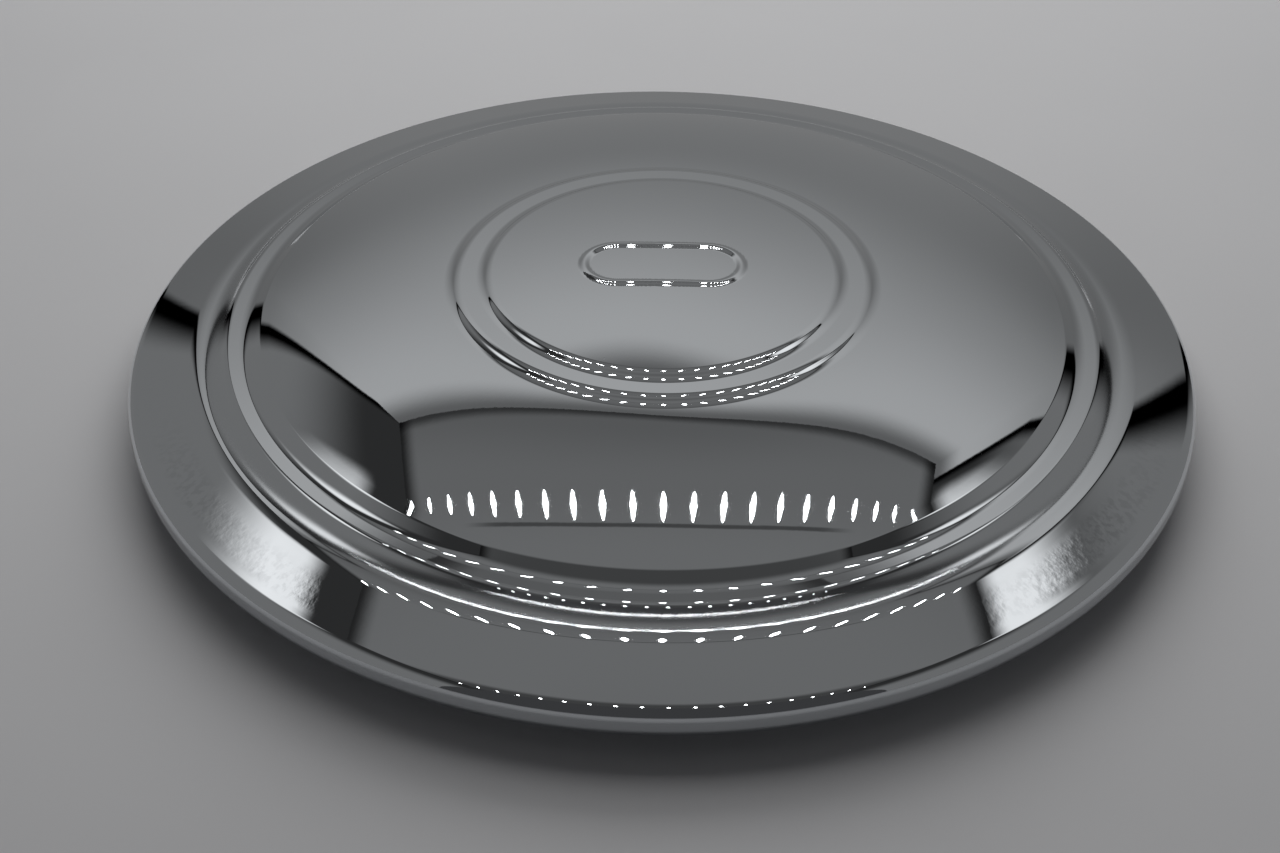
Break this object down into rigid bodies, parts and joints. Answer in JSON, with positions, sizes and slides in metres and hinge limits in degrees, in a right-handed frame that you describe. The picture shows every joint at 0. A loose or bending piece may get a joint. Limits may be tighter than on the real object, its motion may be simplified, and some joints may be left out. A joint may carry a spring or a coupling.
{
  "type": "wheel centre cap",
  "caption": "Round chromed sheet-metal wheel centre cap: shallow stepped dome with concentric rings, a convex flange, a rolled edge and a snap skirt behind.",
  "frame": {"origin": "on the cap's axis, at the plane of the snap skirt's edge, which it rests on", "axes": "+Z along the axis towards the face; +X along the length of the raised bead on the disc"},
  "size_m": [0.2666, 0.2666, 0.0391],
  "materials": {
    "chrome_plate": "bright chrome plate"
  },
  "bodies": {
    "root": {"cap_shell": "chrome_plate"}
  },
  "joints": []
}
